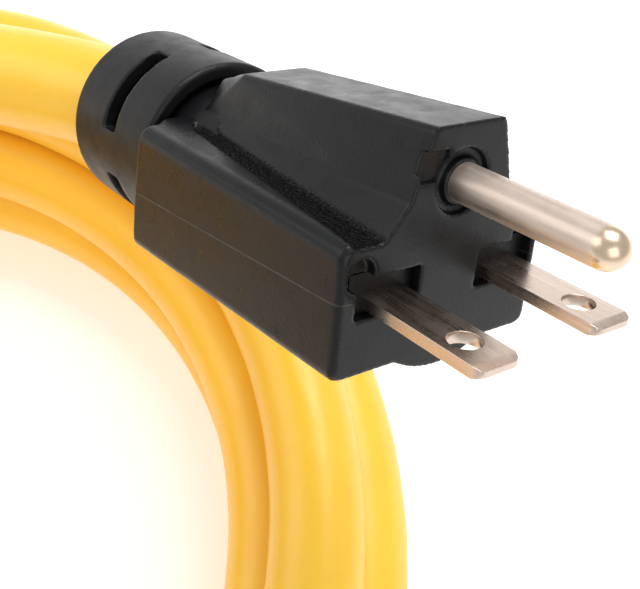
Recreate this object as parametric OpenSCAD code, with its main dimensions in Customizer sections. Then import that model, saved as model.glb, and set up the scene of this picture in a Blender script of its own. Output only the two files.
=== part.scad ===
// Shore power cord: moulded three-prong plug, thick round cable wound into a
// storage coil, and a locking connector with a threaded ring on the far end.
// Row frame: +Z up, origin on the floor at the centre of the coil, the plug
// heads along +X with its nose lifted.

/* [Plug] */
// Half width of the plug body across the two blades
plug_half_w = 16; // [14.5:0.1:17]
// Underside of the plug body below the blade line
plug_under = 9.3; // [8.5:0.1:10.5]
// Top of the side wings above the blade line
wing_top = 7.9; // [7:0.1:9]
// Top of the ground block above the blade line, at the face
block_top = 19.8; // [18.5:0.1:21.5]
// Length of the plug body from face to the collar
body_len = 48.5; // [44:0.5:49]
// Sideways set of the moulded body against its prongs
body_set = -0.7; // [-1:0.1:0]
// Height of the nose of the plug over the floor
plug_z = 123.4; // [120:0.1:130]
// Upward pitch of the plug
plug_pitch = 25; // [20:1:30]
// Roll of the plug about its own length
plug_roll = -26.2; // [-30:0.1:-20]

/* [Prongs] */
// Blade width
blade_w = 6.35; // [6.2:0.05:6.5]
// Blade thickness
blade_t = 1.52; // [1.4:0.02:1.65]
// Distance between the blade centres
blade_gap = 18.4; // [18:0.1:18.8]
// Blade length beyond the face
blade_len = 17.5; // [16:0.1:18.3]
// Locating hole diameter in each blade
blade_hole = 4; // [3:0.1:4.2]
// Ground pin diameter
pin_d = 4.75; // [4.65:0.05:4.85]
// Ground pin length beyond the face
pin_len = 22.9; // [20:0.1:23.2]
// Height of the ground pin over the blade line
pin_up = 12.8; // [11.8:0.1:13]

/* [Strain relief] */
// Outside diameter of the slotted collar
collar_d = 28.6; // [27:0.2:30]
// Distance from the face to the front rim of the collar
collar_front = 49.5; // [49:0.5:52]
// Distance from the face to the rear rim of the collar
collar_rear = 72.5; // [70:0.5:76]
// Width of the slots
slot_w = 3.5; // [2.5:0.1:4.5]

/* [Cable] */
// Outside diameter of the cable jacket
cable_d = 18; // [17:0.2:18]
// Radius of the coil at the middle of its turns
coil_r = 109; // [107:1:111]
// Outside diameter of each insulated conductor
core_d = 4.4; // [4:0.1:4.6]
// Diameter of the copper strands in each conductor
copper_d = 2.8; // [2.4:0.1:3]

/* [Connector] */
// Outside diameter of the locking ring
ring_d = 62; // [60:0.5:62.5]
// Length of the locking ring
ring_len = 36; // [34:1:38]
// Radial running clearance of the locking ring on its shell
ring_clear = 0.06; // [0.03:0.01:0.1]
// Number of grip flutes round the locking ring
ring_flutes = 18; // [12:1:24]

/* [Hidden] */
$fn = 64;
eps = 0.01;

black = [0.075, 0.075, 0.08];
yellow = [0.98, 0.75, 0.16];
nickel = [0.72, 0.66, 0.55];
copper = [0.80, 0.45, 0.25];

block_set = 0.3;        // sideways set of the ground block
plug_x = 77;
plug_y = 98.4;
cable_r = cable_d / 2;
core_r = core_d / 2;
copper_r = copper_d / 2;
neck_r = 11.2;
neck_end = 67;
jacket_end = 51;       // the jacket is stripped from here to the prongs
pocket_d = 1.6;          // depth of the pockets in the face
bridge_t = 6;          // thickness of the prong bridge
crimp_x0 = -24;        // rear end of the crimp barrels
crimp_x1 = -13;        // front end of the crimp barrels
crimp_r = 2.7;

// centres of the three conductors where they leave the jacket, [y, z]
core_at = [[-2.5, -1.4], [2.5, -1.4], [0, 2.9]];
// centres of the three crimp barrels, [y, z]
crimp_at = [[-blade_gap / 2, 0], [blade_gap / 2, 0], [0, pin_up]];

// places a shape drawn in the plug's own frame: face at x = 0, prongs along +X
module on_plug() {
  translate([plug_x, plug_y, plug_z]) rotate([0, -plug_pitch, 0]) rotate([plug_roll, 0, 0]) children();
}

// a straight round rod between two points
module rod(a, b, r) {
  v = b - a;
  l = norm(v);
  translate(a) rotate([0, acos(v[2] / l), atan2(v[1], v[0])]) cylinder(r = r, h = l, $fn = 32);
}

// a cylinder along +X from x0 to x1
module xcyl(r, x0, x1, fn = 64) {
  translate([x0, 0, 0]) rotate([0, 90, 0]) cylinder(r = r, h = x1 - x0, $fn = fn);
}

// ---------- plug ----------

// quarter of a circle in five points, from angle a0
function quarter(c, r, a0) = [for (k = [0:4]) [c[0] + r * cos(a0 + k * 22.5), c[1] + r * sin(a0 + k * 22.5)]];

// cross-section of the flat body, drawn as [y, z]: soft upper edges, tight lower ones
module body_section(hw, zb, zt, rt = 2, rb = 1.3) {
  polygon(concat(quarter([hw - rt, zt - rt], rt, 0), quarter([-hw + rt, zt - rt], rt, 90),
    quarter([-hw + rb, zb + rb], rb, 180), quarter([hw - rb, zb + rb], rb, 270)));
}

// puts a [y, z] section into the plug frame at x, a hair thick
module at_x(x, t = 0.02) {
  translate([x, 0, 0]) rotate([90, 0, 90]) linear_extrude(t) children();
}

// section of the ground block: tw is half the width of its top, fw half the width of its foot
module block_section(top, tw, fw) {
  polygon([[-tw + 0.5, top], [tw - 0.5, top], [tw, top - 0.5], [fw, 9.4], [fw, 2], [-fw, 2], [-fw, 9.4], [-tw, top - 0.5]]);
}

function ease(t) = t * t * (3 - 2 * t);

// route of one conductor from the jacket's end to x1, gently bent into line with its crimp barrel
function wire(i, x1 = crimp_x0 - 1) = concat(
  [[-jacket_end, core_at[i][0], core_at[i][1]]],
  [for (k = [0:6]) let (t = k / 6) [-jacket_end + 1 + t * (crimp_x0 - 3 + jacket_end),
    core_at[i][0] + ease(t) * (crimp_at[i][0] - core_at[i][0]), core_at[i][1] + ease(t) * (crimp_at[i][1] - core_at[i][1])]],
  [[x1, crimp_at[i][0], crimp_at[i][1]]]);

module bridge_shape() {
  translate([-pocket_d - bridge_t, 0, 0]) {
    translate([0, -14.1, -1.7]) cube([bridge_t, 28.2, 5.1]);
    translate([0, -4.6, 3]) cube([bridge_t, 9.2, pin_up + 4.2 - 3]);
  }
}

module blade_strip() {
  // bevelled on both wide faces and clipped at both corners of the tip
  intersection() {
    translate([-12, -blade_w / 2, -blade_t / 2]) cube([blade_len + 12, blade_w, blade_t]);
    rotate([90, 0, 0]) translate([0, 0, -blade_w]) linear_extrude(2 * blade_w)
      polygon([[-13, -2], [blade_len - 1.2, -2], [blade_len - 1.2, -blade_t / 2], [blade_len, -0.4],
               [blade_len, 0.4], [blade_len - 1.2, blade_t / 2], [blade_len - 1.2, 2], [-13, 2]]);
    translate([0, 0, -2]) linear_extrude(4)
      polygon([[-13, -4], [blade_len - 1, -4], [blade_len - 1, -blade_w / 2], [blade_len - 0.3, -blade_w / 2 + 0.35],
               [blade_len, -blade_w / 2 + 1], [blade_len, blade_w / 2 - 1], [blade_len - 0.3, blade_w / 2 - 0.35],
               [blade_len - 1, blade_w / 2], [blade_len - 1, 4], [-13, 4]]);
  }
}

module blade(side) {
  translate([0, side * blade_gap / 2, 0]) {
    difference() {
      union() {
        blade_strip();
        xcyl(crimp_r, crimp_x0, crimp_x1, 32);
        translate([crimp_x1 - 2, -2.4, -blade_t / 2]) cube([5, 4.8, blade_t]);
      }
      xcyl(copper_r, crimp_x0 - 1, crimp_x1 - 2, 32);
      translate([12.1, 0, -2]) cylinder(d = blade_hole, h = 4, $fn = 48);
    }
  }
}

module pin_shape() {
  translate([0, 0, pin_up]) {
    xcyl(pin_d / 2, 0.2, pin_len - 2.4, 48);
    // the moulded-in shank is slimmer
    xcyl(pin_d / 2 - 0.375, -12, 0.2, 48);
    // rounded nose turned from one profile
    translate([pin_len - 2.4, 0, 0]) rotate([0, 90, 0]) rotate_extrude($fn = 48)
      polygon([[0, 0], [pin_d / 2, 0], [pin_d / 2 - 0.14, 0.8], [pin_d / 2 - 0.45, 1.35],
               [pin_d / 2 - 0.95, 1.85], [pin_d / 2 - 1.6, 2.2], [0.3, 2.4], [0, 2.4]]);
    xcyl(crimp_r, crimp_x0, -11.9, 32);
  }
}

module plug_inside() {
  // everything that is moulded in, cut from the overmould
  bridge_shape();
  for (s = [-1, 1]) translate([0, s * blade_gap / 2, 0]) {
    translate([-12.02, -blade_w / 2, -blade_t / 2]) cube([20, blade_w, blade_t]);
    xcyl(crimp_r, crimp_x0, crimp_x1, 32);
    translate([crimp_x1 - 2, -2.4, -blade_t / 2]) cube([5, 4.8, blade_t]);
  }
  translate([0, 0, pin_up]) {
    xcyl(pin_d / 2 - 0.375, -12, 5, 48);
    xcyl(crimp_r, crimp_x0, -11.9, 32);
  }
  for (i = [0:2]) tube(wire(i, crimp_x0 + 0.1), core_r);
  xcyl(cable_r, -neck_end - 1, -jacket_end);
}

module plug_overmould() color(black) on_plug() difference() {
  union() {
    translate([0, body_set, 0]) {
      // flat body with the two wings, a little deeper at the rear
      difference() {
        hull() {
          at_x(-0.02) body_section(plug_half_w - 0.4, -plug_under + 0.4, wing_top - 0.4);
          at_x(-0.8) body_section(plug_half_w, -plug_under, wing_top);
          at_x(-body_len + 1) body_section(plug_half_w, -plug_under - 1.5, wing_top);
          at_x(-body_len) body_section(plug_half_w - 1.4, -plug_under - 0.6, wing_top - 1);
        }
        // textured channel between the ground block and the wing, a shallow step down
        for (s = [-1, 1]) translate([0, 0, wing_top - 0.7]) linear_extrude(3)
          polygon([[1, s * 14.5], [1, s * 9], [-44.5, s * 6], [-44.5, s * 8.2], [-41.5, s * 9.6]]);
      }
    }
    // ground block on top
    translate([0, block_set, 0]) hull() {
      at_x(-0.02) block_section(block_top, 5.65, 8.5);
      at_x(-38) block_section(16.1, 5.65, 7.1);
      at_x(-45) block_section(13.6, 4.4, 6.6);
    }
    // fillet along the foot of the block
    for (s = [-1, 1]) translate([0, block_set, 0]) hull() {
      at_x(-0.02) polygon([[s * 7, 12.6], [s * 11.2, 7.3], [s * 11.2, 5], [s * 7, 5]]);
      at_x(-44) polygon([[s * 6.2, 10], [s * 7.7, 7.1], [s * 7.7, 5], [s * 6.2, 5]]);
    }
    // round belly under the middle of the body
    intersection() {
      hull() {
        translate([0, 0, 1.6]) xcyl(12.7, -1, -0.01, 48);
        xcyl(13.6, -body_len - 0.3, -body_len + 1, 48);
      }
      translate([-60, -20, -30]) cube([70, 40, 33]);
    }
    // neck that carries the slotted collar
    xcyl(neck_r, -neck_end, -40);
  }
  // pockets round the blades and the pin in the face
  for (s = [-1, 1]) {
    translate([-pocket_d, s > 0 ? 4.7 : -14.1, -1.7]) cube([pocket_d + 1, 9.4, 5.1]);
    translate([0, s * 13.1 + body_set, 3.9]) xcyl(2.1, -pocket_d, 1, 32);
  }
  // ring recess, with a sleeve left round the root of the pin
  translate([-1.1, 0, pin_up]) rotate([90, 0, 90]) rotate_extrude($fn = 48) translate([2.8, 0]) square([1.2, 2.1]);
  translate([-1.1, -6.6, pin_up + 0.6]) cube([2.2, 4, 3.6]);
  plug_inside();
}

module prong_bridge() color([0.1, 0.1, 0.105]) on_plug() difference() {
  bridge_shape();
  for (s = [-1, 1]) translate([-20, s * blade_gap / 2 - blade_w / 2, -blade_t / 2]) cube([30, blade_w, blade_t]);
  translate([0, 0, pin_up]) xcyl(pin_d / 2 - 0.375, -20, 1, 48);
}

module line_blade_1() color(nickel) on_plug() blade(-1);
module line_blade_2() color(nickel) on_plug() blade(1);

module ground_pin() color(nickel) on_plug() difference() {
  pin_shape();
  translate([0, 0, pin_up]) xcyl(copper_r, crimp_x0 - 1, crimp_x1 - 2, 32);
}

module strain_relief_collar() color(black) on_plug() difference() {
  rotate([0, -90, 0]) rotate_extrude($fn = 96)
    polygon([[collar_d / 2 - 0.5, collar_front], [collar_d / 2, collar_front + 0.5],
             [collar_d / 2, collar_rear - 0.8], [collar_d / 2 - 0.8, collar_rear],
             [cable_r + 0.02, collar_rear], [cable_r + 0.02, neck_end + 0.1], [neck_r + 0.9, neck_end + 0.1],
             [neck_r + 0.9, collar_front]]);
  // four arc slots, staggered by the ribs between them
  for (a = [49:90:319]) rotate([a, 0, 0]) slot_cut();
}

// one arc slot through the collar wall, centred on +Y
module slot_cut() {
  rotate([30, 0, 0]) rotate([0, -90, 0]) translate([0, 0, 58.8]) rotate([0, 0, 90])
    rotate_extrude(angle = 60, $fn = 96) translate([neck_r, 0]) square([8, slot_w]);
}

// insulation of one conductor
module core(i) on_plug() difference() {
  tube(wire(i), core_r);
  tube(concat([wire(i)[0] - [1, 0, 0]], wire(i, crimp_x0)), copper_r);
}

// bare copper strands of one conductor, from the jacket's end into the crimp barrel
module strands(i) on_plug() tube(wire(i, crimp_x1 - 2.1), copper_r);

module plug_core_black() color([0.06, 0.06, 0.06]) core(0);
module plug_core_white() color([0.92, 0.92, 0.9]) core(1);
module plug_core_green() color([0.1, 0.5, 0.2]) core(2);
module plug_copper_black() color(copper) strands(0);
module plug_copper_white() color(copper) strands(1);
module plug_copper_green() color(copper) strands(2);

// ---------- cable ----------

function unit(v) = v / norm(v);
function tangent(p, i) = unit(p[min(i + 1, len(p) - 1)] - p[max(i - 1, 0)]);

// one closed tube swept along a list of points
module tube(p, r, n = 12) {
  pts = [for (i = [0:len(p) - 1])
    let (t = tangent(p, i), u = unit(cross([0, 0, 1], t)), w = cross(t, u))
      for (j = [0:n - 1]) p[i] + r * (cos(360 * j / n) * u + sin(360 * j / n) * w)];
  k = len(p);
  polyhedron(points = pts, convexity = 6, faces = concat(
    [[for (j = [n - 1:-1:0]) n - 1 - j]],
    [for (i = [0:k - 2]) for (j = [0:n - 1]) [i * n + j, (i + 1) * n + j, (i + 1) * n + (j + 1) % n, i * n + (j + 1) % n]],
    [[for (j = [n - 1:-1:0]) (k - 1) * n + j]]));
}

// the free stretch from the plug up and over the coil, down to its top turn
lead_pts = [[31, 98.4, 102], [24.5, 98.4, 99], [11.5, 97.5, 93.5], [-1.5, 94.5, 89.5], [-14, 89, 86.5],
  [-30, 81, 82.5], [-42.5, 74, 79.5], [-55, 66, 75.5], [-70, 54, 70.5], [-83.5, 40, 65.5],
  [-94, 24, 60.5], [-102, 1, 55], [-103.5, -23.5, 50], [-98, -47.5, 46], [-85, -68.5, 43.5], [-70, -83.5, 42.6]];

// the free stretch that leaves the outer top turn, drops to the floor outside
// the coil and runs round it to the connector
tail_pts = [[0, 121, 27], [-33.5, 124, 24], [-69, 119.5, 19.5], [-103, 103, 14.5], [-130.5, 75.5, 11],
  [-147, 39.5, 9.3], [-152, 0, 9], [-146, -39, 9], [-130, -75, 9], [-111, -100, 9.2], [-92, -118, 10.8],
  [-71, -133.5, 15.5], [-50, -145.5, 21.5], [-27.5, -154.5, 27], [-8.5, -159, 30.2], [8, -160, 31.4],
  [26, -160, 31.5], [56, -160, 31.5]];

module cord_lead() color(yellow) tube(lead_pts, cable_r);
module cord_tail() color(yellow) tube(tail_pts, cable_r);

// outer shape of the coil: two turns wide, two high, one on the crest
module cord_coil() color(yellow) rotate_extrude($fn = 96)
  polygon([[coil_r - 2 * cable_r + 3, 0], [coil_r + 2 * cable_r - 3, 0], [coil_r + 2 * cable_r, 3],
           [coil_r + 2 * cable_r, 4 * cable_r - 3], [coil_r + cable_r + 1, 4 * cable_r + 9],
           [coil_r + cable_r / 2, 51.6], [coil_r - cable_r / 2, 51.6], [coil_r - cable_r - 1, 4 * cable_r + 9],
           [coil_r - 2 * cable_r, 4 * cable_r - 3], [coil_r - 2 * cable_r, 3]]);

// hook-and-loop ties round the bundle
tie_w = 20;
tie_at = [238, 332];
module tie_section(g) {
  polygon([[coil_r - 2 * cable_r + 3 - g / 2, g > 0 ? 0 : 1.4], [coil_r + 2 * cable_r - 3 + g / 2, g > 0 ? 0 : 1.4],
           [coil_r + 2 * cable_r + 0.2 + g, 3], [coil_r + 2 * cable_r + 0.2 + g, 4 * cable_r - 2],
           [coil_r + cable_r + 1 + g, 4 * cable_r + 10], [coil_r + cable_r / 2, 51.9 + g], [coil_r - cable_r / 2, 51.9 + g],
           [coil_r - cable_r - 1 - g, 4 * cable_r + 10], [coil_r - 2 * cable_r - 0.2 - g, 4 * cable_r - 2],
           [coil_r - 2 * cable_r - 0.2 - g, 3]]);
}
module coil_tie() color([0.08, 0.08, 0.09])
  for (a = tie_at) rotate([0, 0, a]) rotate([90, 0, 0]) translate([0, 0, -tie_w / 2]) linear_extrude(tie_w)
    difference() { tie_section(1.5); tie_section(0); }

// ---------- connector ----------

con_x = 22;
con_y = -160;
con_z = 31.5;
shell_x = 36;      // rear of the shell, from the rear of the boot
flange_x = 80;     // retaining flange of the shell
nose_x = 84;       // root of the mating nose
front_x = 106;     // mating face
flange_r = 26;
land_r = 23;
nose_r = 17.6;
insert_r = 15.4;
ring_x = 76.6;

module on_connector() translate([con_x, con_y, con_z]) children();

// turns a profile of [x, r] points about the connector's axis
module turned(pts, fn = 96) rotate([90, 0, 90]) rotate_extrude($fn = fn) polygon([for (q = pts) [q[1], q[0]]]);

// centres of the conductors in the cable and at the contacts, [y, z]
con_core_at = [[-2.5, -1.4], [2.5, -1.4], [0, 2.9]];
con_contact_at = [[-8.9, -4.4], [8.9, -4.4], [0, 9.6]];
core_x0 = 34;
core_x1 = 78;

module connector_boot() color(black) on_connector() difference() {
  turned([[2, cable_r + 0.02], [2, 11.2], [8, 11.8], [36, 15], [44, 15], [44, 12.9], [34, cable_r + 0.02]]);
  // bending grooves
  for (x = [8:5:28]) turned([[x, 10.7 + (x - 8) * 0.11], [x, 20], [x + 1.8, 20], [x + 1.8, 10.7 + (x - 8) * 0.11]]);
}

module connector_shell() color(black) on_connector() difference() {
  turned([[shell_x, 15], [44, 15], [44, 13], [nose_x - 2, 13], [nose_x - 2, insert_r],
          [nose_x, insert_r], [nose_x, flange_r - 0.4], [nose_x - 0.4, flange_r],
          [flange_x, flange_r], [flange_x, land_r], [56, land_r], [50, 21.6], [40, 17.4], [shell_x, 16.4]]);
  // grip hollows on the sides
  for (a = [0:45:315]) rotate([a, 0, 0]) translate([57, 0, 25.4]) rotate([0, 90, 0]) cylinder(r = 4, h = 13, $fn = 32);
}

// curved slot or contact about the axis: radius r, from angle a, span s, wall w
module arc_bar(r, a, s, w, x0, x1) {
  translate([x0, 0, 0]) rotate([90, 0, 90]) rotate([0, 0, a - s / 2]) rotate_extrude(angle = s, $fn = 96)
    translate([r - w / 2, 0]) square([w, x1 - x0]);
}

module connector_face() color([0.12, 0.12, 0.125]) on_connector() difference() {
  // the nose stands on the insert, a touch slimmer where the gasket sits
  turned([[nose_x - 2, 0], [nose_x - 2, insert_r], [nose_x, insert_r], [nose_x, nose_r - 0.4], [86.8, nose_r - 0.4],
          [86.8, nose_r], [front_x - 0.6, nose_r], [front_x, nose_r - 0.6], [front_x, insert_r], [front_x - 0.4, insert_r],
          [front_x - 0.4, 0]]);
  for (k = [0:2]) {
    arc_bar(10, 90 + 120 * k, 52 - 6 * k, 2.4, 95, front_x + 1);
    arc_bar(10, 90 + 120 * k, 62, 4.4, nose_x - 3, 95.01);
  }
  // round pilot hole in the middle of the face
  xcyl(2.2, front_x - 6, front_x + 1, 32);
}

// folded receptacle contact: two leaves joined at the rear, and a crimp barrel
module contact(k) on_connector() difference() {
  union() {
    arc_bar(10, 90 + 120 * k, 40, 4, nose_x - 1.5, nose_x + 0.5);
    arc_bar(8.5, 90 + 120 * k, 40, 0.9, nose_x - 1.5, 94.5);
    arc_bar(11.5, 90 + 120 * k, 40, 0.9, nose_x - 1.5, 94.5);
    rotate([90 + 120 * k, 0, 0]) translate([0, 9.8, 0]) xcyl(2.5, core_x1 - 6, nose_x - 1.4, 32);
  }
  rotate([90 + 120 * k, 0, 0]) translate([0, 9.8, 0]) xcyl(copper_r, core_x1 - 7, nose_x - 3, 32);
}
module ground_contact() color(nickel) contact(0);
module line_contact_1() color(nickel) contact(1);
module line_contact_2() color(nickel) contact(2);

// angle order of the conductors round the connector: ground, line 1, line 2
con_end = [for (k = [0:2]) [9.8 * cos(90 + 120 * k), 9.8 * sin(90 + 120 * k)]];
con_start = [[0, 2.9], [-2.5, -1.45], [2.5, -1.45]];
function con_wire(k, x1 = core_x1 - 8) = concat(
  [[core_x0, con_start[k][0], con_start[k][1]]],
  [for (j = [0:6]) let (t = j / 6) [core_x0 + 1 + t * (core_x1 - 10 - core_x0),
    con_start[k][0] + ease(t) * (con_end[k][0] - con_start[k][0]), con_start[k][1] + ease(t) * (con_end[k][1] - con_start[k][1])]],
  [[x1, con_end[k][0], con_end[k][1]]]);
module con_core(k) on_connector() difference() {
  tube(con_wire(k), core_r);
  tube(concat([con_wire(k)[0] - [1, 0, 0]], con_wire(k, core_x1 - 6.5)), copper_r);
}
module con_copper(k) on_connector() tube(con_wire(k, nose_x - 3.1), copper_r);
module connector_core_green() color([0.1, 0.5, 0.2]) con_core(0);
module connector_core_black() color([0.06, 0.06, 0.06]) con_core(1);
module connector_core_white() color([0.92, 0.92, 0.9]) con_core(2);
module connector_copper_green() color(copper) con_copper(0);
module connector_copper_black() color(copper) con_copper(1);
module connector_copper_white() color(copper) con_copper(2);

module face_gasket() color([0.2, 0.2, 0.21]) on_connector()
  turned([[nose_x, nose_r - 0.38], [nose_x, 21.5], [nose_x + 1.8, 21.5], [nose_x + 2.6, 19.5], [nose_x + 1.8, nose_r - 0.38]]);

module lock_ring() color(black) on_connector() difference() {
  turned([[ring_x, land_r + ring_clear], [ring_x, ring_d / 2 - 3], [ring_x + 3, ring_d / 2], [ring_x + ring_len - 2, ring_d / 2],
          [ring_x + ring_len, ring_d / 2 - 1.6], [ring_x + ring_len, flange_r + 1.4], [ring_x + ring_len - 1.6, flange_r + 0.2],
          // internal thread, drawn as turned ridges
          [109, flange_r + 0.2], [108.4, flange_r - 1], [107.6, flange_r - 1], [107, flange_r + 0.2],
          [105, flange_r + 0.2], [104.4, flange_r - 1], [103.6, flange_r - 1], [103, flange_r + 0.2],
          [101, flange_r + 0.2], [100.4, flange_r - 1], [99.6, flange_r - 1], [99, flange_r + 0.2],
          [97, flange_r + 0.2], [96.4, flange_r - 1], [95.6, flange_r - 1], [95, flange_r + 0.2],
          [87, flange_r + 0.2], [87, flange_r + 1.4], [85.2, flange_r + 1.4], [85.2, flange_r + ring_clear],
          [flange_x - 0.4, flange_r + ring_clear], [flange_x - 0.4, land_r + ring_clear]]);
  // grip flutes
  for (k = [0:ring_flutes - 1]) rotate([k * 360 / ring_flutes, 0, 0]) translate([ring_x + 5, 0, ring_d / 2 + 2.2])
    rotate([0, 90, 0]) cylinder(r = 3.6, h = ring_len - 10, $fn = 32);
}

// spring clip that keeps the ring on the shell
module ring_clip() color([0.7, 0.7, 0.72]) on_connector() difference() {
  turned([[85.4, flange_r - 1.6], [85.4, flange_r + 1.3], [86.6, flange_r + 1.3], [86.6, flange_r - 1.6]]);
  rotate([200, 0, 0]) translate([80, -2.5, 15]) cube([10, 5, 20]);
}

plug_overmould();
prong_bridge();
line_blade_1();
line_blade_2();
ground_pin();
strain_relief_collar();
plug_core_black();
plug_core_white();
plug_core_green();
plug_copper_black();
plug_copper_white();
plug_copper_green();
cord_lead();
cord_coil();
cord_tail();
coil_tie();
connector_boot();
connector_shell();
connector_face();
line_contact_1();
line_contact_2();
ground_contact();
connector_core_black();
connector_core_white();
connector_core_green();
connector_copper_black();
connector_copper_white();
connector_copper_green();
face_gasket();
lock_ring();
ring_clip();
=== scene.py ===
import math

import bmesh
import bpy
from mathutils import Matrix, Vector


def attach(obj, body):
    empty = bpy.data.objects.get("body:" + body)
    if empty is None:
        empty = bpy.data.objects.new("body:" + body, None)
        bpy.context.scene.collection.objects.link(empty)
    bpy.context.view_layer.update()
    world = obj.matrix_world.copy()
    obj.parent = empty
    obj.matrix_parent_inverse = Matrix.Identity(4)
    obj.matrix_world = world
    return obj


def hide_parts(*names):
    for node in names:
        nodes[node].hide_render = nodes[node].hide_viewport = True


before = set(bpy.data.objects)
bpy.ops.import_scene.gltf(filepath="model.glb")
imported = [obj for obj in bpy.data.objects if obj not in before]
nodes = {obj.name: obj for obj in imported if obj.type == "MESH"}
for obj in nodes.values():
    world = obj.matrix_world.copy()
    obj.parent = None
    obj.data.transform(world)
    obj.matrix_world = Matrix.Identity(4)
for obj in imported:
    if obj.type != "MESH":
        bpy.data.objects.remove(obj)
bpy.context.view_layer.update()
scene = bpy.context.scene
scene.view_settings.view_transform = "Standard"
scene.view_settings.look = "None"
MM = 0.001

# ---------------------------------------------------------------- camera

right = Vector((0.66309, 0.74854, 0.0))
up = Vector((-0.66092, 0.58548, 0.46947))
back = right.cross(up)
cam_data = bpy.data.cameras.new("view")
cam_data.lens = 56.25
cam_data.sensor_width = 36
cam_data.sensor_fit = "HORIZONTAL"
cam_data.clip_start = 0.005
cam_data.clip_end = 20
camera = bpy.data.objects.new("view", cam_data)
scene.collection.objects.link(camera)
camera.matrix_world = Matrix.Translation((0.1096, 0.0492, 0.2278)) @ Matrix((
    (right.x, up.x, back.x, 0), (right.y, up.y, back.y, 0), (right.z, up.z, back.z, 0), (0, 0, 0, 1)))
scene.camera = camera

# ---------------------------------------------------------------- the plug's own frame

PLUG_AT = Vector((77, 98.4, 123.4)) * MM
PLUG_TURN = Matrix.Rotation(math.radians(-25), 4, "Y") @ Matrix.Rotation(math.radians(-26.2), 4, "X")
plug_frame = Matrix.Translation(PLUG_AT) @ PLUG_TURN
CON_AT = Vector((22, -160, 31.5)) * MM


def on_plug(x, y, z):
    return plug_frame @ (Vector((x, y, z)) * MM)


# ---------------------------------------------------------------- the cable's route, in mm

D = 18.0
R0 = 109.0
LEAD = [(31, 98.4, 102), (24.5, 98.4, 99), (11.5, 97.5, 93.5), (-1.5, 94.5, 89.5), (-14, 89, 86.5),
        (-30, 81, 82.5), (-42.5, 74, 79.5), (-55, 66, 75.5), (-70, 54, 70.5), (-83.5, 40, 65.5),
        (-94, 24, 60.5), (-102, 1, 55), (-103.5, -23.5, 50), (-98, -47.5, 46), (-85, -68.5, 43.5)]
TAIL = [(0, 121, 27), (-33.5, 124, 24), (-69, 119.5, 19.5), (-103, 103, 14.5), (-130.5, 75.5, 11),
        (-147, 39.5, 9.3), (-152, 0, 9), (-146, -39, 9), (-130, -75, 9), (-111, -100, 9.2), (-92, -118, 10.8),
        (-71, -133.5, 15.5), (-50, -145.5, 21.5), (-27.5, -154.5, 27), (-8.5, -159, 30.2), (8, -160, 31.4),
        (26, -160, 31.5), (56, -160, 31.5)]


def ease(t):
    t = min(1.0, max(0.0, t))
    return (1 - math.cos(math.pi * t)) / 2


def bundle(a, s):
    """A place on the circle through the four lower turns, lifted so that none goes under the floor."""
    q = math.radians(a)
    lift = max(0.0, 12.728 * math.cos(math.radians(45 - 90 * s)) - 9)
    return R0 + 12.728 * math.cos(q), 18 + 12.728 * math.sin(q) + lift


WA, WB = 135.0, 212.0


def place(u):
    """Radius and height of the cable's middle at u degrees of winding, counted from the plug."""
    turn = [(495, 0), (855, 1), (1215, 2), (1575, 3)]
    spots = [(R0, 42.6), (R0 - 9, 27), (R0 - 9, 9), (R0 + 9, 9), (R0 + 9, 27)]
    for start, k in turn:
        if u < start:
            return spots[k]
        if u < start + WB - WA:
            s = ease((u - start) / (WB - WA))
            if k:
                return bundle(135 + 90 * (k - 1) + 90 * s, s)
            r, z = bundle(135 + 90 * s, s)
            q = math.radians(30 * (1 - s))
            return r + D * math.sin(q), z + D * math.cos(q)
    return spots[4]


def coil_point(u):
    r, z = place(u)
    q = math.radians(u)
    return r * math.cos(q), r * math.sin(q), z


coil_route = [coil_point(u) for u in range(231, 1872, 8)]
route = [Vector(p) * MM for p in LEAD + coil_route + TAIL]

cable_curve = bpy.data.curves.new("power_cable", "CURVE")
cable_curve.dimensions = "3D"
cable_curve.resolution_u = 6
cable_curve.bevel_depth = 1.0  # the points' own radius sets the thickness, so the curve's box is right
cable_curve.bevel_resolution = 12
cable_curve.use_fill_caps = True
spline = cable_curve.splines.new("BEZIER")
spline.bezier_points.add(len(route) - 1)
for p, co in zip(spline.bezier_points, route):
    p.co = co
    p.radius = D / 2 * MM
    p.handle_left_type = p.handle_right_type = "AUTO"
cable = bpy.data.objects.new("power_cable", cable_curve)
scene.collection.objects.link(cable)
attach(cable, "cord")
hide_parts("cord_lead", "cord_coil", "cord_tail")

# ---------------------------------------------------------------- materials


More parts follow.
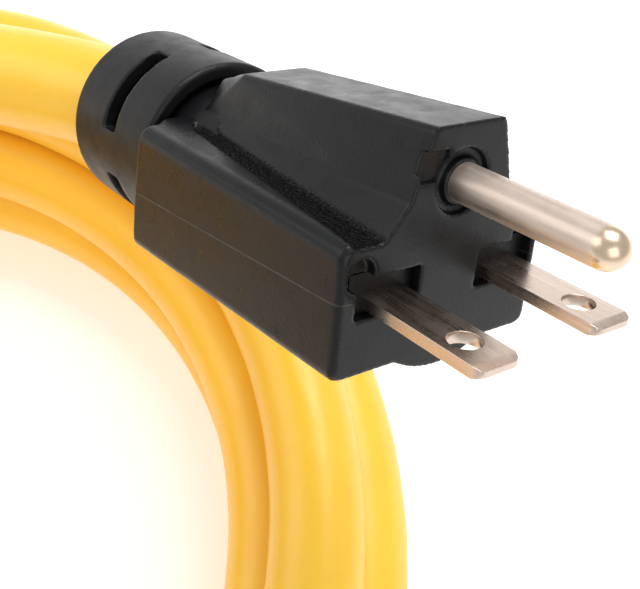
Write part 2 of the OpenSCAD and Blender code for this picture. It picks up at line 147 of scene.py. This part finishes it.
class Mat:
    """A Principled material with helpers for its node work."""

    def __init__(self, name, rough=0.5, metal=0.0, spec=0.5, coat=0.0, coat_rough=0.2, ior=None):
        self.m = bpy.data.materials.new(name)
        self.m.use_nodes = True
        self.t = self.m.node_tree
        self.t.nodes.clear()
        self.out = self.t.nodes.new("ShaderNodeOutputMaterial")
        self.b = self.t.nodes.new("ShaderNodeBsdfPrincipled")
        self.t.links.new(self.b.outputs[0], self.out.inputs[0])
        self.b.inputs["Roughness"].default_value = rough
        self.b.inputs["Metallic"].default_value = metal
        self.b.inputs["Specular IOR Level"].default_value = spec
        self.b.inputs["Coat Weight"].default_value = coat
        self.b.inputs["Coat Roughness"].default_value = coat_rough
        if ior:
            self.b.inputs["IOR"].default_value = ior
        self.coord = self.t.nodes.new("ShaderNodeTexCoord").outputs["Object"]
        self.normal = None

    def link(self, a, b):
        self.t.links.new(a, b)

    def node(self, kind, **values):
        n = self.t.nodes.new(kind)
        for k, v in values.items():
            setattr(n, k, v)
        return n

    def mapped(self, matrix=None, scale=(1, 1, 1)):
        """The row's coordinates turned into a piece's own frame, in metres."""
        m = self.node("ShaderNodeMapping")
        if matrix is None:
            m.inputs["Scale"].default_value = scale
        else:
            inv = matrix.inverted()
            loc, rot, _ = inv.decompose()
            m.inputs["Location"].default_value = loc
            m.inputs["Rotation"].default_value = rot.to_euler()
        self.link(self.coord, m.inputs["Vector"])
        return m.outputs[0]

    def noise(self, scale, detail=3, rough=0.5, at=None, dist=0.0):
        n = self.node("ShaderNodeTexNoise")
        n.inputs["Scale"].default_value = scale
        n.inputs["Detail"].default_value = detail
        n.inputs["Roughness"].default_value = rough
        n.inputs["Distortion"].default_value = dist
        self.link(at or self.coord, n.inputs["Vector"])
        return n.outputs["Fac"]

    def ramp(self, fac, stops):
        r = self.node("ShaderNodeValToRGB")
        e = r.color_ramp.elements
        while len(e) < len(stops):
            e.new(0.5)
        for el, (p, c) in zip(e, stops):
            el.position = p
            el.color = (*c, 1) if len(c) == 3 else c
        self.link(fac, r.inputs[0])
        return r.outputs[0]

    def span(self, fac, a, b, lo, hi):
        n = self.node("ShaderNodeMapRange")
        for k, v in zip(("From Min", "From Max", "To Min", "To Max"), (a, b, lo, hi)):
            n.inputs[k].default_value = v
        self.link(fac, n.inputs["Value"])
        return n.outputs["Result"]

    def math(self, op, a, b=None, clamp=False):
        n = self.node("ShaderNodeMath", operation=op, use_clamp=clamp)
        for i, v in enumerate((a, b)):
            if v is None:
                continue
            if isinstance(v, (int, float)):
                n.inputs[i].default_value = v
            else:
                self.link(v, n.inputs[i])
        return n.outputs[0]

    def mix(self, fac, a, b, blend="MIX"):
        n = self.node("ShaderNodeMix", data_type="RGBA", blend_type=blend)
        if isinstance(fac, (int, float)):
            n.inputs[0].default_value = fac
        else:
            self.link(fac, n.inputs[0])
        for i, v in ((6, a), (7, b)):
            if isinstance(v, tuple):
                n.inputs[i].default_value = (*v, 1)
            else:
                self.link(v, n.inputs[i])
        return n.outputs[2]

    def colour(self, socket):
        self.link(socket, self.b.inputs["Base Color"])

    def rough(self, socket):
        self.link(socket, self.b.inputs["Roughness"])

    def bump(self, height, distance, strength=1.0):
        n = self.node("ShaderNodeBump")
        n.inputs["Strength"].default_value = strength
        n.inputs["Distance"].default_value = distance
        self.link(height, n.inputs["Height"])
        if self.normal:
            self.link(self.normal, n.inputs["Normal"])
        self.normal = n.outputs[0]
        self.link(self.normal, self.b.inputs["Normal"])

    def soft_edges(self, radius):
        n = self.node("ShaderNodeBevel", samples=6)
        n.inputs["Radius"].default_value = radius
        self.normal = n.outputs[0]
        self.link(self.normal, self.b.inputs["Normal"])


def split(m, vector):
    s = m.node("ShaderNodeSeparateXYZ")
    m.link(vector, s.inputs[0])
    return s.outputs[0], s.outputs[1], s.outputs[2]


def jacket():
    m = Mat("jacket_yellow", rough=0.34, spec=0.5, coat=0.12, coat_rough=0.28)
    broad = m.noise(28, 2, 0.5)
    fine = m.noise(420, 4, 0.6)
    c = m.ramp(broad, [(0.3, (0.95, 0.545, 0.036)), (0.7, (0.985, 0.600, 0.046))])
    c = m.mix(m.span(fine, 0.35, 0.7, 0.0, 0.16), c, (0.90, 0.47, 0.035))
    # a few faint scuffs
    scuff = m.span(m.noise(90, 6, 0.72, dist=1.2), 0.63, 0.74, 0.0, 0.25)
    c = m.mix(scuff, c, (0.99, 0.66, 0.16))
    m.colour(c)
    m.rough(m.math("ADD", m.span(m.noise(160, 4, 0.6), 0.3, 0.7, 0.30, 0.42), m.math("MULTIPLY", scuff, 0.25)))
    m.bump(m.noise(75, 2, 0.4), 0.0009, 0.35)
    m.bump(m.noise(1600, 3, 0.5), 0.00003, 0.5)
    return m.m


def black_plastic(name, tone=0.0125, rough=0.42, grain=2600, grain_depth=0.000035, warm=0.0, edges=0.0, at=None):
    m = Mat(name, rough=rough, spec=0.27)
    if edges:
        m.soft_edges(edges)
    broad = m.noise(60, 3, 0.55)
    c = m.ramp(broad, [(0.3, (tone * (0.78 + warm), tone * 0.83, tone * (0.94 - warm))),
                       (0.72, (tone * (1.06 + warm), tone * 1.12, tone * (1.26 - warm)))])
    dust = m.span(m.noise(900, 5, 0.7), 0.62, 0.78, 0.0, 0.16)
    c = m.mix(dust, c, (0.034, 0.033, 0.031))
    m.colour(c)
    m.rough(m.span(m.noise(300, 4, 0.6), 0.3, 0.72, rough - 0.07, rough + 0.10))
    m.bump(m.noise(grain, 3, 0.55), grain_depth, 0.7)
    m.bump(m.noise(110, 3, 0.5), 0.0004, 0.12)
    return m


def plug_black():
    """The overmould: satin skin, a fine stipple in the channels beside the ground block, and a parting line with a
    painted highlight along it.
    """
    m = black_plastic("plug_black", tone=0.0060, rough=0.31, grain=2100, grain_depth=0.00004)
    at = m.mapped(plug_frame)
    x, y, z = split(m, at)
    side = m.math("ABSOLUTE", m.math("ADD", y, 0.0007))

    def gate(v, a, b, lo, hi):
        return m.span(v, a, b, lo, hi)

    # the channel's floor lies between the foot of the block and the wing, and narrows to the rear
    outer = m.math("SUBTRACT", gate(x, -0.0415, 0.0, 0.0096, 0.0144), side)
    mask = gate(z, 0.0062, 0.0067, 0.0, 1.0)
    for k in (gate(z, 0.0075, 0.0079, 1.0, 0.0), gate(outer, 0.0, 0.0004, 0.0, 1.0),
              gate(x, -0.0006, -0.0002, 1.0, 0.0), gate(x, -0.0445, -0.0425, 0.0, 1.0)):
        mask = m.math("MULTIPLY", mask, k)
    m.colour(m.mix(m.math("MULTIPLY", mask, 0.8), m.b.inputs["Base Color"].links[0].from_socket, (0.0022, 0.0022, 0.0025)))
    m.link(gate(mask, 0.0, 1.0, 0.27, 0.08), m.b.inputs["Specular IOR Level"])
    v = m.node("ShaderNodeTexVoronoi", feature="SMOOTH_F1")
    v.inputs["Scale"].default_value = 2700
    m.link(m.coord, v.inputs["Vector"])
    stipple = m.math("MULTIPLY", gate(v.outputs["Distance"], 0.1, 0.75, 1.0, 0.0), mask)
    m.bump(stipple, 0.00018, 1.0)
    # parting line of the mould along the two side faces: a ridge in the bump, and a painted highlight of warm light
    # colour along it
    off = m.math("ABSOLUTE", m.math("SUBTRACT", z, gate(x, -0.048, 0.0, -0.0022, 0.0009)))
    line = m.math("MULTIPLY", gate(off, 0.00004, 0.00012, 1.0, 0.0), gate(side, 0.0140, 0.0146, 0.0, 1.0))
    line = m.math("MULTIPLY", line, gate(x, -0.0475, -0.0465, 0.0, 1.0))
    patchy_highlight = m.math("MULTIPLY", line, gate(m.noise(330, 3, 0.6), 0.38, 0.55, 0.25, 1.0))
    # painted highlight: a warm light colour mixed in along the parting line
    m.colour(m.mix(m.math("MULTIPLY", patchy_highlight, 0.7), m.b.inputs["Base Color"].links[0].from_socket, (0.068, 0.056, 0.040)))
    m.bump(line, 0.00010, 0.8)
    return m.m


def metal(name, a, b, rough=0.2, streak=(60, 1400, 1400), frame_of=None, edges=0.0, tarnish=(0.40, 0.30, 0.19),
          nose=None):
    m = Mat(name, rough=rough, metal=1.0)
    if edges:
        m.soft_edges(edges)
    at = m.mapped(frame_of) if frame_of is not None else m.coord
    s = m.node("ShaderNodeMapping")
    s.inputs["Scale"].default_value = streak
    m.link(at, s.inputs["Vector"])
    lines = m.noise(1.0, 3, 0.6, at=s.outputs[0])
    broad = m.noise(180, 4, 0.6)
    c = m.ramp(broad, [(0.3, a), (0.72, b)])
    c = m.mix(m.span(m.noise(420, 5, 0.7), 0.60, 0.8, 0.0, 0.45), c, tarnish)
    c = m.mix(m.span(lines, 0.35, 0.7, 0.0, 0.10), c, tarnish)
    r = m.math("ADD", m.span(lines, 0.3, 0.7, rough - 0.05, rough + 0.07), m.span(broad, 0.45, 0.8, 0.0, 0.10))
    if nose:
        # a brass-coloured tint is mixed into the nose's colour, and the nose is made smoother
        nose_tint = m.span(split(m, at)[0], nose, nose + 0.0009, 0.0, 1.0)
        c = m.mix(m.math("MULTIPLY", nose_tint, 0.38), c, (0.82, 0.60, 0.32))
        r = m.math("SUBTRACT", r, m.math("MULTIPLY", nose_tint, 0.17))
    m.colour(c)
    m.rough(r)
    m.bump(lines, 0.00002, 0.5)
    m.bump(m.noise(240, 3, 0.5), 0.0002, 0.06)
    return m.m


def webbing():
    """Hook-and-loop tape: a woven ground with a fuzzy face."""
    m = Mat("tie_weave", rough=0.85, spec=0.2)
    m.b.inputs["Sheen Weight"].default_value = 0.35
    m.b.inputs["Sheen Roughness"].default_value = 0.5
    fuzz = m.noise(2600, 5, 0.75)
    c = m.ramp(fuzz, [(0.35, (0.006, 0.006, 0.007)), (0.75, (0.035, 0.035, 0.038))])
    c = m.mix(m.span(m.noise(70, 3, 0.5), 0.4, 0.7, 0.0, 0.35), c, (0.022, 0.021, 0.02))
    m.colour(c)
    m.bump(fuzz, 0.0003, 0.8)
    v = m.node("ShaderNodeTexVoronoi")
    v.inputs["Scale"].default_value = 950
    m.link(m.coord, v.inputs["Vector"])
    m.bump(v.outputs["Distance"], 0.0003, 0.6)
    return m.m


def plain_plastic(name, a, b, rough=0.45):
    m = Mat(name, rough=rough)
    m.colour(m.ramp(m.noise(120, 4, 0.6), [(0.3, a), (0.7, b)]))
    m.rough(m.span(m.noise(400, 4, 0.6), 0.3, 0.7, rough - 0.06, rough + 0.08))
    m.bump(m.noise(1500, 3, 0.5), 0.00003, 0.5)
    return m.m


def copper():
    m = Mat("copper_strands", rough=0.3, metal=1.0)
    s = m.node("ShaderNodeMapping")
    s.inputs["Scale"].default_value = (150, 5200, 5200)
    m.link(m.coord, s.inputs["Vector"])
    n = m.noise(1.0, 2, 0.5, at=s.outputs[0])
    m.colour(m.ramp(n, [(0.3, (0.55, 0.22, 0.09)), (0.7, (0.87, 0.46, 0.26))]))
    m.rough(m.span(n, 0.3, 0.7, 0.22, 0.42))
    m.bump(n, 0.0002, 0.8)
    return m.m


connector_frame = Matrix.Translation(CON_AT)
mats = {
    "jacket": jacket(),
    "plug": plug_black(),
    "collar": black_plastic("collar_black", tone=0.0058, rough=0.40, grain=1900, grain_depth=0.00004).m,
    "bridge": black_plastic("bridge_black", tone=0.004, rough=0.42).m,
    "blade": metal("nickel_blade", (0.61, 0.49, 0.41), (0.70, 0.58, 0.50), rough=0.26, streak=(90, 1800, 1800),
                   frame_of=plug_frame),
    "pin": metal("nickel_pin", (0.64, 0.52, 0.44), (0.74, 0.63, 0.55), rough=0.41, streak=(60, 900, 900),
                 frame_of=plug_frame, nose=0.0196),
    "contact": metal("brass_spring", (0.72, 0.52, 0.24), (0.83, 0.64, 0.33), rough=0.25, edges=0.0002,
                     tarnish=(0.45, 0.28, 0.10)),
    "boot": black_plastic("boot_black", tone=0.0075, rough=0.52, grain=1500, grain_depth=0.00006, edges=0.0005).m,
    "shell": black_plastic("shell_black", tone=0.0078, rough=0.38, grain=1900, grain_depth=0.00006, edges=0.0006).m,
    "face": black_plastic("face_black", tone=0.010, rough=0.45, grain=2400, edges=0.0003).m,
    "ring": black_plastic("ring_black", tone=0.0085, rough=0.44, grain=1400, grain_depth=0.00008, edges=0.0006).m,
    "gasket": plain_plastic("gasket_grey", (0.028, 0.028, 0.030), (0.045, 0.045, 0.047), 0.6),
    "clip": metal("spring_steel", (0.50, 0.50, 0.51), (0.64, 0.64, 0.65), rough=0.24, tarnish=(0.25, 0.24, 0.23)),
    "tie": webbing(),
    "core_black": plain_plastic("wire_black", (0.012, 0.012, 0.012), (0.02, 0.02, 0.02)),
    "core_white": plain_plastic("wire_white", (0.78, 0.78, 0.75), (0.88, 0.88, 0.86)),
    "core_green": plain_plastic("wire_green", (0.015, 0.17, 0.05), (0.03, 0.26, 0.08)),
    "copper": copper(),
}


def paint(obj, mat):
    obj.data.materials.clear()
    obj.data.materials.append(mats[mat])


paint(cable, "jacket")
for name, mat in {
    "prong_bridge": "bridge",
    "connector_boot": "boot", "connector_shell": "shell", "connector_face": "face",
    "line_contact_1": "contact", "line_contact_2": "contact", "ground_contact": "contact",
    "face_gasket": "gasket", "lock_ring": "ring", "ring_clip": "clip",
    "plug_core_black": "core_black", "plug_core_white": "core_white", "plug_core_green": "core_green",
    "connector_core_black": "core_black", "connector_core_white": "core_white", "connector_core_green": "core_green",
    "plug_copper_black": "copper", "plug_copper_white": "copper", "plug_copper_green": "copper",
    "connector_copper_black": "copper", "connector_copper_white": "copper", "connector_copper_green": "copper",
}.items():
    paint(nodes[name], mat)


# ---------------------------------------------------------------- moulded pieces with rounded edges


def moulded(node, name, mat, voxel, smooth, body="cord"):
    """A copy of the CAD piece with its edges and corners rounded as a moulding's are."""
    src = nodes[node]
    mesh = src.data.copy()
    mesh.name = name
    obj = bpy.data.objects.new(name, mesh)
    scene.collection.objects.link(obj)
    weld = obj.modifiers.new("weld", "WELD")
    weld.merge_threshold = 1e-6
    re = obj.modifiers.new("skin", "REMESH")
    re.mode = "VOXEL"
    re.voxel_size = voxel
    re.adaptivity = 0.0
    sm = obj.modifiers.new("soft", "SMOOTH")
    sm.factor = 0.5
    sm.iterations = smooth
    bpy.context.view_layer.update()
    deps = bpy.context.evaluated_depsgraph_get()
    done = bpy.data.meshes.new_from_object(obj.evaluated_get(deps))
    obj.modifiers.clear()
    obj.data = done
    done.materials.clear()
    done.materials.append(mats[mat])
    for p in done.polygons:
        p.use_smooth = True
    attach(obj, body)
    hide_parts(node)
    return obj


plug_body = moulded("plug_overmould", "plug_body", "plug", 0.00025, 4)
plug_collar = moulded("strain_relief_collar", "plug_collar", "collar", 0.00025, 4)


def lean_rear(mesh):
    """Lean the wings' rear ends forward at the top, outside the collar, so the corner is as the moulding's."""
    back_to = plug_frame.inverted()
    for v in mesh.vertices:
        x, y, z = (back_to @ v.co) / MM
        if x > -40 or x < -48.7:
            continue
        along = ease((-40 - x) / 8.5)
        high = max(0.0, (z + 8) / 15.6) ** 1.4
        outside = ease((math.hypot(y, z) - 13.7) / 2.0)
        v.co = on_plug(x + 2.0 * along * min(1.0, high) * outside, y, z)


lean_rear(plug_body.data)

# ---------------------------------------------------------------- metal prongs


def link_piece(name, mesh, mat, node, sharp=35, body="cord"):
    mesh.materials.clear()
    mesh.materials.append(mats[mat])
    for p in mesh.polygons:
        p.use_smooth = True
    mesh.set_sharp_from_angle(angle=math.radians(sharp))
    obj = bpy.data.objects.new(name, mesh)
    scene.collection.objects.link(obj)
    even = obj.modifiers.new("even_normals", "WEIGHTED_NORMAL")
    even.mode = "FACE_AREA"
    even.weight = 100
    even.keep_sharp = True
    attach(obj, body)
    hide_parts(node)
    return obj


def bevelled(node, name, mat, width, segments=2, corner=30):
    """A copy of a stamped piece with its sheared edges broken."""
    bm = bmesh.new()
    bm.from_mesh(nodes[node].data)
    bmesh.ops.remove_doubles(bm, verts=bm.verts, dist=2e-6)
    bmesh.ops.dissolve_limit(bm, angle_limit=math.radians(1), verts=bm.verts, edges=bm.edges)
    edges = [e for e in bm.edges if len(e.link_faces) == 2 and math.degrees(e.calc_face_angle(0)) > corner]
    bmesh.ops.bevel(bm, geom=edges, offset=width, offset_type="OFFSET", segments=segments, profile=0.5,
                    affect="EDGES", clamp_overlap=True)
    mesh = bpy.data.meshes.new(name)
    bm.to_mesh(mesh)
    bm.free()
    return link_piece(name, mesh, mat, node, sharp=50)


def turned_pin():
    """The ground pin as turned: crimp barrel, slim moulded-in shank, full pin and a round nose."""
    r, end = 2.375, 22.9
    prof = [(-15, 0.0), (-15, 1.4), (-24, 1.4), (-24, 2.62), (-23.92, 2.7), (-11.98, 2.7), (-11.9, 2.62), (-11.9, 2.0),
            (-1.7, 2.0), (-1.7, 2.3), (-1.62, r), (end - r - 0.25, r)]
    for k in range(1, 16):
        q = math.radians(6 * k)
        prof.append((end - r - 0.25 + (r + 0.25) * math.sin(q), r * math.cos(q)))
    steps = 72
    verts, faces = [], []
    for x, rad in prof[1:-1]:
        for j in range(steps):
            a = math.tau * j / steps
            verts.append(on_plug(x, rad * math.cos(a), 12.8 + rad * math.sin(a)))
    rows = len(prof) - 2
    for i in range(rows - 1):
        for j in range(steps):
            k = (j + 1) % steps
            faces.append((i * steps + j, i * steps + k, (i + 1) * steps + k, (i + 1) * steps + j))
    verts.append(on_plug(prof[0][0], 0, 12.8))
    verts.append(on_plug(end, 0, 12.8))
    a, b = len(verts) - 2, len(verts) - 1
    for j in range(steps):
        k = (j + 1) % steps
        faces.append((a, k, j))
        faces.append((b, (rows - 1) * steps + j, (rows - 1) * steps + k))
    mesh = bpy.data.meshes.new("turned_pin")
    mesh.from_pydata(verts, [], faces)
    bm = bmesh.new()
    bm.from_mesh(mesh)
    bmesh.ops.recalc_face_normals(bm, faces=bm.faces)
    bm.to_mesh(mesh)
    bm.free()
    return link_piece("turned_pin", mesh, "pin", "ground_pin", sharp=40)


bevelled("line_blade_1", "stamped_blade_1", "blade", 0.00014)
bevelled("line_blade_2", "stamped_blade_2", "blade", 0.00014)
turned_pin()

# ---------------------------------------------------------------- ties


def hull_path(centres, r, step=10):
    """Points round a bundle of equal circles, from the outside of each to the next."""
    pts = []
    n = len(centres)
    for i, (cx, cz) in enumerate(centres):
        px, pz = centres[i - 1]
        nx, nz = centres[(i + 1) % n]
        a0 = math.degrees(math.atan2(cz - pz, cx - px)) - 90
        a1 = math.degrees(math.atan2(nz - cz, nx - cx)) - 90
        while a1 < a0 - 1e-6:
            a1 += 360
        k = max(1, round((a1 - a0) / step))
        for j in range(k + 1):
            q = math.radians(a0 + (a1 - a0) * j / k)
            pts.append((cx + r * math.cos(q), cz + r * math.sin(q)))
    return pts


def make_tie(name, angle):
    """A strap round the bundle at one angle of the coil, with its end lapped over on top."""
    centres = [(R0 - 9, 9), (R0 + 9, 9), (R0 + 9, 27), (R0, 42.6), (R0 - 9, 27)]
    w, t = 20.0, 1.5
    bm = bmesh.new()

    def strip(path, thick, half, tip=False):
        rows = []
        n = len(path)
        for i, (r, z) in enumerate(path):
            a = path[max(0, i - 1)]
            b = path[min(n - 1, i + 1)]
            d = Vector((b[0] - a[0], b[1] - a[1])).normalized()
            out = Vector((d.y, -d.x))
            h = half
            if tip:
                left = (n - 1 - i) / 3
                h = half * math.sqrt(max(0.12, 1 - (1 - min(1, left)) ** 2))
            ring = []
            for s, o in ((-1, 0.0), (-0.97, 0.6), (-0.9, 1.0), (0.9, 1.0), (0.97, 0.6), (1, 0.0), (0.9, -0.1), (-0.9, -0.1)):
                rr, zz = r + out.x * thick * o, max(0.12, z + out.y * thick * o)
                ring.append(bm.verts.new((rr * MM, s * h * MM, zz * MM)))
            rows.append(ring)
        for a, b in zip(rows, rows[1:]):
            for j in range(8):
                bm.faces.new((a[j], a[(j + 1) % 8], b[(j + 1) % 8], b[j]))
        bm.faces.new(rows[0][::-1])
        bm.faces.new(rows[-1])

    loop = hull_path(centres, 9.15)
    # round once, then on past the start over the top and down the outside
    top = max(range(len(loop)), key=lambda i: loop[i][1])
    loop = loop[top:] + loop[:top]
    strip(loop + loop[:2], t, w / 2)
    outer = hull_path(centres, 9.15 + t)
    top2 = max(range(len(outer)), key=lambda i: outer[i][1])
    outer = outer[top2:] + outer[:top2]
    back_way = outer[-12:] + outer[:3]
    strip(back_way, t, w / 2 - 0.3, tip=True)
    bmesh.ops.recalc_face_normals(bm, faces=bm.faces)
    mesh = bpy.data.meshes.new(name)
    bm.to_mesh(mesh)
    bm.free()
    for p in mesh.polygons:
        p.use_smooth = True
    obj = bpy.data.objects.new(name, mesh)
    scene.collection.objects.link(obj)
    obj.rotation_euler = (0, 0, math.radians(angle))
    b = obj.modifiers.new("edges", "SUBSURF")
    b.levels = b.render_levels = 2
    obj.data.materials.append(mats["tie"])
    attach(obj, "cord")
    return obj


ties = [make_tie("tie_strap_1", 238), make_tie("tie_strap_2", 332)]
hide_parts("coil_tie")

# ---------------------------------------------------------------- floor and light

floor_mesh = bpy.data.meshes.new("floor")
s = 3.0
floor_mesh.from_pydata([(-s, -s, -0.0004), (s, -s, -0.0004), (s, s, -0.0004), (-s, s, -0.0004)], [], [(0, 1, 2, 3)])
floor = bpy.data.objects.new("floor", floor_mesh)
scene.collection.objects.link(floor)
fm = Mat("floor_pale", rough=0.75, spec=0.2)
fm.colour(fm.ramp(fm.noise(6, 2, 0.5), [(0.3, (0.86, 0.86, 0.86)), (0.7, (0.88, 0.88, 0.88))]))
# a lit table: the floor glows a little, as a product table does
fm.b.inputs["Emission Color"].default_value = (1, 1, 1, 1)
fm.b.inputs["Emission Strength"].default_value = 0.30
floor.data.materials.append(fm.m)

world = bpy.data.worlds.new("studio")
world.use_nodes = True
world.node_tree.nodes["Background"].inputs[0].default_value = (1, 1, 1, 1)
world.node_tree.nodes["Background"].inputs[1].default_value = 0.60
scene.world = world


def area(name, at, target, size, power, size_y=None, colour=(1, 1, 1)):
    d = bpy.data.lights.new(name, "AREA")
    d.shape = "RECTANGLE"
    d.size = size
    d.size_y = size_y or size
    d.energy = power
    d.color = colour
    o = bpy.data.objects.new(name, d)
    scene.collection.objects.link(o)
    o.location = at
    o.rotation_euler = (Vector(target) - Vector(at)).to_track_quat("-Z", "Y").to_euler()
    return o


area("key", (-0.30, 0.70, 1.10), (0.02, 0.05, 0.05), 0.8, 11.0)
area("fill", (0.9, -0.4, 1.0), (0.02, 0.0, 0.05), 1.0, 5.0)
area("rim", (-0.9, -0.5, 0.8), (0.0, 0.0, 0.05), 0.8, 3.0)
